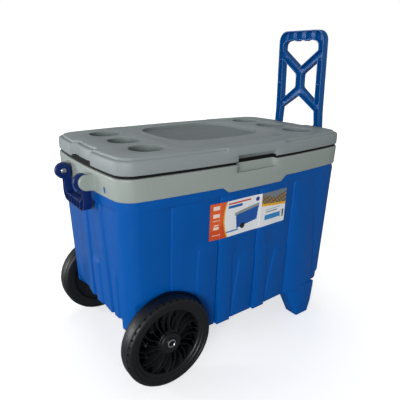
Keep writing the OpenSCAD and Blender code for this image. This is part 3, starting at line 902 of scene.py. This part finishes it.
def spun(name, section, steps):
    """A closed section of (radius, width) spun round the axle's line, along +Y at the origin."""
    clear_selection()
    bpy.ops.mesh.primitive_circle_add(vertices=len(section), radius=0.1)
    piece = bpy.context.object
    piece.name = name
    bpy.ops.object.mode_set(mode="EDIT")
    mesh = bmesh.from_edit_mesh(piece.data)
    mesh.verts.ensure_lookup_table()
    for vertex, (radius, width) in zip(mesh.verts, section):
        vertex.co = Vector((radius, width, 0)) * MM
    bmesh.update_edit_mesh(piece.data)
    bpy.ops.mesh.select_all(action="SELECT")
    bpy.ops.mesh.spin(steps=steps, angle=2 * math.pi, center=(0, 0, 0), axis=(0, 1, 0))
    tidy_normals()
    bpy.ops.object.mode_set(mode="OBJECT")
    return piece


wheel = spun("wheel", WHEEL_SECTION, 112)
print("wheel section spun:", len(wheel.data.polygons), "faces")


# %% Tread notches
def notch(angle):
    """A small wedge that cuts the outer shoulder of the tread."""
    a = math.radians(angle)
    along = Vector((-math.sin(a), math.cos(a)))
    out = Vector((math.cos(a), math.sin(a)))
    corners = [out * r + along * t for r, t in ((99.4, -1.8), (106, -3.8), (106, 3.8), (99.4, 1.8))]
    return loft("notch", [[(c.x, w, c.y) for c in corners] for w in (32.5, 41)])


cut(wheel, merge_loose(*[notch(i * 360 / NOTCHES) for i in range(NOTCHES)]))


# %% Wheel ribs
RIB_R0, RIB_R1, WEB_W = 26.0, 76.0, 10


def swirl(radius, start, bow, lean):
    """A point of a rib's middle line, bowed to one side between hub and rim."""
    share = (radius - RIB_R0) / (RIB_R1 - RIB_R0)
    a = math.radians(start + lean * share - bow * math.sin(math.pi * share))
    return Vector((radius * math.cos(a), radius * math.sin(a)))


def rib(name, start, bow, lean, r0, r1, high, thick, steps=9):
    """A thin curved fin with a rounded crest, from one radius to another."""
    rings = []
    for i in range(steps):
        radius = r0 + (r1 - r0) * i / (steps - 1)
        here, ahead = swirl(radius, start, bow, lean), swirl(radius + 1, start, bow, lean)
        off = Vector((-(ahead - here).y, (ahead - here).x)).normalized() * thick
        top = high + 2.5 * (1 - i / (steps - 1))
        crest = ((-1.3, WEB_W), (-1, top - 0.7), (-0.5, top), (0.5, top), (1, top - 0.7),
                 (1.3, WEB_W))
        rings.append([(here.x + off.x * w, h, here.y + off.y * w) for w, h in crest])
    return loft(name, rings)


fins = []
for i in range(RIB_PAIRS):
    start = i * 360 / RIB_PAIRS
    fins.append(rib("fin", start, 6, 8, RIB_R0, RIB_R1, 32, 0.75))
    fins.append(rib("fin", start + 6, 3, 22, RIB_R0 + 2, RIB_R1, 30, 0.6))
    fins.append(rib("tie", start + 12, 4, 12, 57, 58.4, 27, 5.0, 3))
wheel = merge_loose(wheel, *fins)


# %% Place both wheels
def placed_wheel(name, side):
    """The spun wheel turned to its side of the axle, its place in its mesh."""
    piece = copy_of(wheel, name)
    for vertex in piece.data.vertices:
        x, w, z = vertex.co
        y = side * ((WHEEL_OUTER_Y - WHEEL_W) * MM + w)
        vertex.co = (x * side + WHEEL_X * MM, y, z + WHEEL_Z * MM)
    return piece


front_wheel, rear_wheel = placed_wheel("wheel_near", -1), placed_wheel("wheel_far", 1)
bpy.data.objects.remove(wheel)
finish_piece(front_wheel, "front_wheel", BLACK, ["wheel_front"], 40)
finish_piece(rear_wheel, "rear_wheel", BLACK, ["wheel_rear"], 40)

# %% [markdown]
# ## Axle
# The axle is a zinc-plated tube that runs right through both wheels. Its ends are swaged over to
# a narrow bright ring round an open bore.

# %% Axle
AXLE_SECTION = [(6.4, -150), (6.4, -201.0), (7.0, -201.7), (8.6, -201.8), (9.7, -201.2),
                (9.8, -200.4), (9.0, -199.9), (9.0, 199.9), (9.8, 200.4), (9.7, 201.2),
                (8.6, 201.8), (7.0, 201.7), (6.4, 201.0), (6.4, 150), (0.05, 149), (0.05, -149)]
axle = shift(spun("axle", AXLE_SECTION, 48), WHEEL_X, WHEEL_Z)
finish_piece(axle, "body", STEEL, ["axle_tube", "axle_ferrules"])

# %% [markdown]
# Each handle turns on a pair of pan-head screws with a cross recess. One is spun and its cross is
# cut, and the four places get a copy each.

# %% Pivot screws
def pivot_screw(name, x, face_y, end_y):
    """A screw whose head rests on the eye's inner face and whose shank ends inside the ear."""
    shank = SCREW_R - 0.1
    dome = [(0.05, 2.4), (2.6, 2.3), (4.6, 1.7), (5.8, 0.9), (6.1, 0.1), (shank, 0.1)]
    section = [(radius, face_y - height) for radius, height in dome]
    screw = spun(name, section + [(shank, end_y), (0.05, end_y)], 40)
    cut(screw, box_loft("cross", -3.2, 3.2, face_y - 4, face_y - 1.1, -0.6, 0.6),
        box_loft("cross", -0.6, 0.6, face_y - 4, face_y - 1.1, -3.2, 3.2))
    return shift(screw, x, PIVOT_Z)


for handle, side, face_y, end_y in (("bail", -1, 48, 69.5), ("tow", 1, 68, 93.5)):
    screw = pivot_screw(handle + "_screw_rear", side * PIVOT_X, face_y, end_y)
    twin = mirrored(screw, handle + "_screw_front", 1)
    for piece in (screw, twin):
        finish_piece(piece, "body", STEEL, [handle + "_screws", handle + "_washers"])

# %% [markdown]
# ## Carrying bail
# The navy bail is a U that hangs from two screws. Like most moulded handles it is a channel:
# solid on the side that the hand meets, open on the other with thin ribs across. The grip's upper
# edge has scallops for the fingers. The channel is made by insetting the flat side and pushing
# it in.

# %% Bail
BAIL_HALF, BAIL_ARM, BAIL_X0, BAIL_X1, BAIL_DROP = 60, 12, -344, -327, 64
CHANNEL_WALL = 2.6
EYE_R, HANDLE_T = 17.5, 19
GRIP_Z = PIVOT_Z - BAIL_DROP


def both_halves(right):
    """Closed outline from its right half, listed from bottom to top."""
    return right + [(-y, z) for y, z in reversed(right)]


def bail_ring():
    """The U of the bail from the end, its grip scalloped for the fingers."""
    outer = arc(BAIL_HALF - 20, GRIP_Z + 20, 20, -90, 0, 9) + [(BAIL_HALF, PIVOT_Z - 8)]
    arm_y = BAIL_HALF - BAIL_ARM
    inner = [(arm_y, PIVOT_Z - 8)] + arc(arm_y - 12, GRIP_Z + 31, 12, 0, -80, 6)
    scallops = [(y, GRIP_Z + 18 + 2.2 * abs(math.sin(math.pi * (y + 32) / 16)) ** 0.6)
                for y in range(32, -1, -2)]
    return both_halves(outer + inner + scallops)


def hollow_out(piece, wall, depth, facing_x):
    """Insets the flat side that faces -X or +X by a wall and pushes it in, as a channel."""
    pick(piece)
    bpy.ops.object.mode_set(mode="EDIT")
    bpy.ops.mesh.select_mode(type="FACE")
    mesh = bmesh.from_edit_mesh(piece.data)
    for face in mesh.faces:
        face.select = face.normal.x * facing_x > 0.995
    bpy.ops.mesh.inset(thickness=wall * MM, depth=0, use_even_offset=True)
    inward = (-facing_x * depth * MM, 0, 0)
    bpy.ops.mesh.extrude_region_move(TRANSFORM_OT_translate={"value": inward})
    bpy.ops.object.mode_set(mode="OBJECT")
    return piece


def eye(x, y0, y1, radius=EYE_R):
    """A round boss with a rounded rim, along Y."""
    rings = [(radius - 1.6, y0), (radius - 0.5, y0 + 0.5), (radius, y0 + 1.6),
             (radius, y1 - 1.6), (radius - 0.5, y1 - 0.5), (radius - 1.6, y1)]
    return loft("eye", [[(px, y, pz) for px, pz in arc(x, PIVOT_Z, r, 0, 352.5, 48)]
                        for r, y in rings])


bail = plate_x("bail", bail_ring(), BAIL_X0, BAIL_X1)
hollow_out(bail, CHANNEL_WALL, 11, -1)
for y in (-32, -16, 0, 16, 32):
    join_on(bail, box_loft("cell_rib", BAIL_X0 + 1.2, BAIL_X1 - 4, y - 1, y + 1, GRIP_Z + 1,
                           GRIP_Z + 18.5))
for y0, y1 in ((-BAIL_HALF, BAIL_ARM - BAIL_HALF), (BAIL_HALF - BAIL_ARM, BAIL_HALF)):
    join_on(bail, eye(-PIVOT_X, y0, y1))
    cut(bail, bore(-PIVOT_X, PIVOT_Z, SCREW_R + 0.05, y0 - 2, y1 + 2))
soften(bail, 0.8, 2, 35)
finish_piece(bail, "bail", NAVY, ["bail_handle"])

# %% [markdown]
# ## Towing handle
# The tall blue frame has two rails, a scalloped grip and an X brace with a short stem. It is the
# same kind of channel moulding as the bail. It is drawn upright, its windows are cut, its side
# facing the lid is hollowed, and then the whole frame leans a little toward the lid.

# %% Towing handle outline
TOW_HALF, TOW_FOOT_Y, TOW_LEAN, TOW_TOP_Z, RAIL_W = 78, 84, math.radians(2.0), 752, 16
TOW_H = (TOW_TOP_Z - PIVOT_Z - HANDLE_T / 2 * math.sin(TOW_LEAN)) / math.cos(TOW_LEAN)
INNER_W = TOW_HALF - RAIL_W


def tow_ring():
    """The outer edge of the towing handle, drawn upright with its pivot at height 0."""
    right = [(TOW_FOOT_Y, 0), (TOW_FOOT_Y, 30), (TOW_HALF + 2, 95), (TOW_HALF, TOW_H - 30)]
    return both_halves(right + arc(TOW_HALF - 28, TOW_H - 28, 28, 6, 90, 9))


def grip_window():
    """The window under the grip, scalloped above."""
    scallops = [(y, TOW_H - 27.5 + 3.0 * abs(math.sin(math.pi * (y - 16) / 31.5)) ** 0.5)
                for y in range(46, -1, -2)]
    right = [(0, 214), (INNER_W, TOW_H - 51)] + arc(INNER_W - 14, TOW_H - 41, 14, 0, 78, 6) + scallops
    return right + [(-y, z) for y, z in reversed(right[1:-1])]


def side_window(side):
    """The window beside the stem of the X brace."""
    corners = ((INNER_W, 236), (12, 199), (9.5, 194), (9.5, 165), (12, 160), (INNER_W, 122))
    return [(side * y, z) for y, z in corners]


def lower_window():
    """The window between the rails, open at the foot."""
    foot = TOW_FOOT_Y - RAIL_W
    right = [(0, 141), (INNER_W, 100), (foot, 40), (foot, -30)]
    return right + [(-y, z) for y, z in reversed(right[1:])]


# %% Towing handle
windows = (grip_window(), side_window(1), side_window(-1), lower_window())
tow = plate_x("tow", tow_ring(), -HANDLE_T / 2, HANDLE_T / 2)
cut(tow, *[plate_x("window", ring, -30, 30) for ring in windows])
hollow_out(tow, CHANNEL_WALL, 14, -1)
for y in (-47.5, -16, 16, 47.5):
    join_on(tow, box_loft("grip_rib", -HANDLE_T / 2 + 1, 6, y - 1.1, y + 1.1, TOW_H - 26.5,
                          TOW_H - 1.5))
for side in (-1, 1):
    y0, y1 = sorted((side * 62, side * 77))
    join_on(tow, *[box_loft("rail_rib", -HANDLE_T / 2 + 1.5, 6, y0, y1, z - 1, z + 1)
                   for z in (60, 108, 172, 236)])
for vertex in tow.data.vertices:
    x, z = vertex.co.x, vertex.co.z
    vertex.co.x = PIVOT_X * MM + x * math.cos(TOW_LEAN) - z * math.sin(TOW_LEAN)
    vertex.co.z = PIVOT_Z * MM + z * math.cos(TOW_LEAN) + x * math.sin(TOW_LEAN)
for side in (-1, 1):
    y0, y1 = sorted((side * (TOW_FOOT_Y - RAIL_W), side * TOW_FOOT_Y))
    join_on(tow, eye(PIVOT_X, y0, y1))
    cut(tow, bore(PIVOT_X, PIVOT_Z, SCREW_R + 0.05, y0 - 2, y1 + 2))
soften(tow, 1.2, 2, 35)
finish_piece(tow, "tow", HANDLE_BLUE, ["tow_handle"])

# %% [markdown]
# ## Front label
# A printed sticker under clear film lies on the front wall and follows its planks softly. It is a
# fine grid laid on the wall. Each corner of the grid gets its print colour from a few plain
# shapes, kept as a colour attribute that the material reads: an orange band with a swept edge, a
# little drawing of a cooler, a picture block and plain bars.

# %% Label sheet
LABEL_X, LABEL_Z, CELL = (-119, 111), (301, 385), 1.25
LABEL_MID_Z, FILM_T = 343, 0.3


def wall_out(x, z):
    """How far the front wall stands out at a place, along its stations."""
    stations = tub_front(z)
    for (x0, out0), (x1, out1) in zip(stations, stations[1:]):
        if x0 <= x <= x1:
            return out0 + (out1 - out0) * (x - x0) / (x1 - x0)
    return 0.0


def soft_out(x, z):
    """The sticker's height: it spans grooves and eases over steps."""
    highest = [max(wall_out(x + dx + e, z) for e in (-3, 0, 3)) for dx in range(-14, 15, 4)]
    return max(sum(highest) / 8, wall_out(x, z)) + 0.15


def wall_point(x, z, out):
    """A place on the bowed front wall, standing out by so much."""
    half = tub_half(z)
    return Vector((x, -half[1] + TUB_BOW[1] * (x / half[0]) ** 2 - out, z)) * MM


clear_selection()
columns, rows = int((LABEL_X[1] - LABEL_X[0]) / CELL), int((LABEL_Z[1] - LABEL_Z[0]) / CELL)
bpy.ops.mesh.primitive_grid_add(x_subdivisions=columns, y_subdivisions=rows, size=2)
label = bpy.context.object
label.name = "front_label_print"
profile = {}
for vertex in label.data.vertices:
    x = LABEL_X[0] + (vertex.co.x + 1) / 2 * (LABEL_X[1] - LABEL_X[0])
    z = LABEL_Z[0] + (vertex.co.y + 1) / 2 * (LABEL_Z[1] - LABEL_Z[0])
    key = round(x, 2)
    if key not in profile:
        profile[key] = soft_out(x, LABEL_MID_Z)
    vertex.co = wall_point(x, z, profile[key])
pick(label)
thick = label.modifiers.new("film", "SOLIDIFY")
thick.thickness, thick.offset = FILM_T * MM, 1
bpy.ops.object.modifier_apply(modifier=thick.name)
print("label grid", columns, "x", rows)

# %% Label print
ORANGE, DEEP_ORANGE, YELLOW, PAPER = "#e8622a", "#d94f1c", "#f6b62c", "#f7f8fa"
# Bars on the orange band: height of the middle, half length, half height
BAND_BARS = ((73, 8.5, 4.2), (56, 8.5, 4.2), (44, 9, 0.7), (34, 6, 1.0), (27, 7, 3.2),
             (11, 10, 0.9))


def in_box(u, v, cu, cv, half_u, half_v):
    """Whether a place lies in a rectangle round a centre."""
    return abs(u - cu) < half_u and abs(v - cv) < half_v


def print_colour(u, v):
    """The print at u along (0 to 230) and v up (0 to 84), in millimetres."""
    edge = 35 + 9 * ((v - 46) / 42) ** 2
    if u < edge:
        for cv, half_u, half_v in BAND_BARS:
            if in_box(u, v, 17, cv, half_u, half_v):
                return "#fbe3d6"
        return ORANGE if v > 20 + u * 0.4 else DEEP_ORANGE
    if u < edge + 3.4:
        return YELLOW
    if in_box(u, v, 81, 77, 33, 2.2):
        return "#d8452f"
    if in_box(u, v, 68, 69.5, 21, 3.4):
        return "#1565b3"
    if in_box(u, v, 134, 74, 6, 6):
        return "#27408c" if (u - 134) ** 2 + (v - 74) ** 2 < 30 else PAPER
    cooler_u, cooler_v = u - 104, v - 40
    if (cooler_u + 12) ** 2 + (cooler_v + 22) ** 2 < 49:
        return "#191b1e"
    if abs(cooler_u) < 36 and 12 < cooler_v - 0.16 * cooler_u < 19:
        return "#9aa09e"
    if abs(cooler_u) < 34 - (12 - cooler_v) * 0.12 and -20 < cooler_v - 0.16 * cooler_u <= 12:
        return "#1559ad" if abs(cooler_u + 26) > 1 else "#0f4185"
    if in_box(u, v, 62, 12, 18, 2.0):
        return "#4a87c8"
    if u > 147 and v > 52 - (u - 147) * 0.10:
        if v < 58 - (u - 147) * 0.10:
            return YELLOW
        blot = math.sin(u * 0.45) * math.cos(v * 0.6 + u * 0.2)
        if v > 72 + 4 * math.sin(u * 0.09):
            return "#7d858c"
        return "#c8794a" if blot > 0.35 else "#5f7f4e" if blot > -0.1 else "#6a5a50"
    if in_box(u, v, 186, 41, 26, 0.8) or in_box(u, v, 182, 35, 20, 0.8):
        return "#7f8894"
    if in_box(u, v, 186, 21, 26, 6.0):
        return "#2f8fd0"
    if in_box(u, v, 220, 22, 6, 9) and int(u * 1.4) % 2 == 0:
        return "#30343a"
    return PAPER


inks = label.data.color_attributes.new("print", "FLOAT_COLOR", "CORNER")
for polygon in label.data.polygons:
    corners = [label.data.vertices[i].co for i in polygon.vertices]
    centre = sum(corners, Vector()) / len(corners) / MM
    ink = linear(print_colour(centre.x - LABEL_X[0], centre.z - LABEL_Z[0]))
    for corner in polygon.loop_indices:
        inks.data[corner].color = ink

# Printed polypropylene film with a clear laminate: flat ink under a glossy skin
STICKER, tree, shader, coords = new_material("laminated_printed_film", ior=PLASTIC_IOR,
                                             roughness=0.34, coat_weight=0.25)
ink_node = add_node(tree, "ShaderNodeAttribute", {"attribute_name": "print"})
fade = ramp(tree, noise(tree, coords, 30, 3.0), 0.93, 1.0)
toned = add_node(tree, "ShaderNodeMix", {"data_type": "RGBA", "blend_type": "MULTIPLY", 0: 1.0},
                 {6: ink_node.outputs["Color"], 7: fade})
tree.links.new(toned.outputs[2], shader.inputs["Base Color"])
finish_piece(label, "body", STICKER, ["front_label"])

# %% [markdown]
# ## Pieces kept from the CAD model
# The lining, the lid's inner panel, both foams, the axle washers and the hinge pins are right as
# they are. They only get a real finish.

# %% Finishes of the kept nodes
KEPT = {WHITE: ["inner_liner", "lid_inner_panel"], FOAM: ["foam_core", "lid_foam"],
        STEEL: ["axle_washers", "hinge_pins"]}
for material, names in KEPT.items():
    for name in names:
        nodes[name].data.materials.clear()
        nodes[name].data.materials.append(material)
print("kept nodes finished:", sum(len(names) for names in KEPT.values()))

# %% [markdown]
# ## Floor and light
# A white floor and a pale surround that is brighter near the horizon. Both look white when seen
# directly, and give off less light than that. The floor's glow is weaker round the cooler, a
# painted shadow under it. A large lamp at the front left is the main light, a tall strip behind on
# the left draws the sheen along the end wall, and a weak lamp fills from above.

# %% Floor
bpy.ops.mesh.primitive_plane_add(size=30)
floor = bpy.context.object
floor.name = "floor"
floor_paint, tree, shader, coords = new_material("matt_white_floor_painted_shadow", roughness=0.9,
                                                 specular_ior_level=0.0)
shader.inputs["Base Color"].default_value = linear("#f4f5f6")
shader.inputs["Emission Color"].default_value = (1, 1, 1, 1)
away = add_node(tree, "ShaderNodeVectorMath", {"operation": "LENGTH"}, {0: coords})
# The glow drops toward the middle: a painted shadow round the cooler
glow_with_painted_shadow = ramp(tree, away.outputs["Value"], 0.56, 0.95, 0.3, 1.8)
tree.links.new(glow_with_painted_shadow, shader.inputs["Emission Strength"])
bounce = add_node(tree, "ShaderNodeBsdfDiffuse", {"Color": linear("#a8aaac")})
seen_directly = add_node(tree, "ShaderNodeLightPath")
floor_mix = add_node(tree, "ShaderNodeMixShader", {},
                     {0: seen_directly.outputs["Is Camera Ray"], 1: bounce.outputs[0],
                      2: shader.outputs[0]})
tree.links.new(floor_mix.outputs[0], tree.nodes["Material Output"].inputs["Surface"])
floor.data.materials.append(floor_paint)

# %% Surround and lamps
world = bpy.data.worlds.new("studio")
bpy.context.scene.world = world
world.use_nodes = True
tree = world.node_tree
seen = add_node(tree, "ShaderNodeBackground", {"Color": (1, 1, 1, 1), "Strength": 1.0})
direction = add_node(tree, "ShaderNodeTexCoord")
axes = add_node(tree, "ShaderNodeSeparateXYZ", {}, {0: direction.outputs["Generated"]})
band = ramp(tree, axes.outputs["Z"], 0.54, 0.2, 0.05, 0.5)
lit = add_node(tree, "ShaderNodeBackground", {"Color": (0.93, 0.97, 1, 1)}, {"Strength": band})
eye_ray = add_node(tree, "ShaderNodeLightPath")
both = add_node(tree, "ShaderNodeMixShader", {},
                {0: eye_ray.outputs["Is Camera Ray"], 1: lit.outputs[0], 2: seen.outputs[0]})
tree.links.new(both.outputs[0], tree.nodes["World Output"].inputs["Surface"])


def softbox(name, place, target, size, power):
    """A rectangular lamp aimed at a point."""
    bpy.ops.object.light_add(type="AREA", location=place)
    lamp = bpy.context.object
    lamp.name = name
    lamp.data.shape, lamp.data.size, lamp.data.size_y = "RECTANGLE", size[0], size[1]
    lamp.data.energy = power
    lamp.rotation_mode = "QUATERNION"
    lamp.rotation_quaternion = (Vector(target) - Vector(place)).to_track_quat("-Z", "Y")
    return lamp


softbox("key_left", (-4.4, -3.6, 1.35), (-0.05, 0, 0.25), (2.2, 1.4), 222)
softbox("left_rear_strip", (-2.6, 1.9, 0.6), (-0.3, 0, 0.3), (0.8, 1.2), 34)
softbox("overhead_fill", (0.4, 0.9, 2.6), (0, 0, 0.3), (2.2, 2.2), 17)
bpy.context.scene.view_settings.view_transform = "Standard"
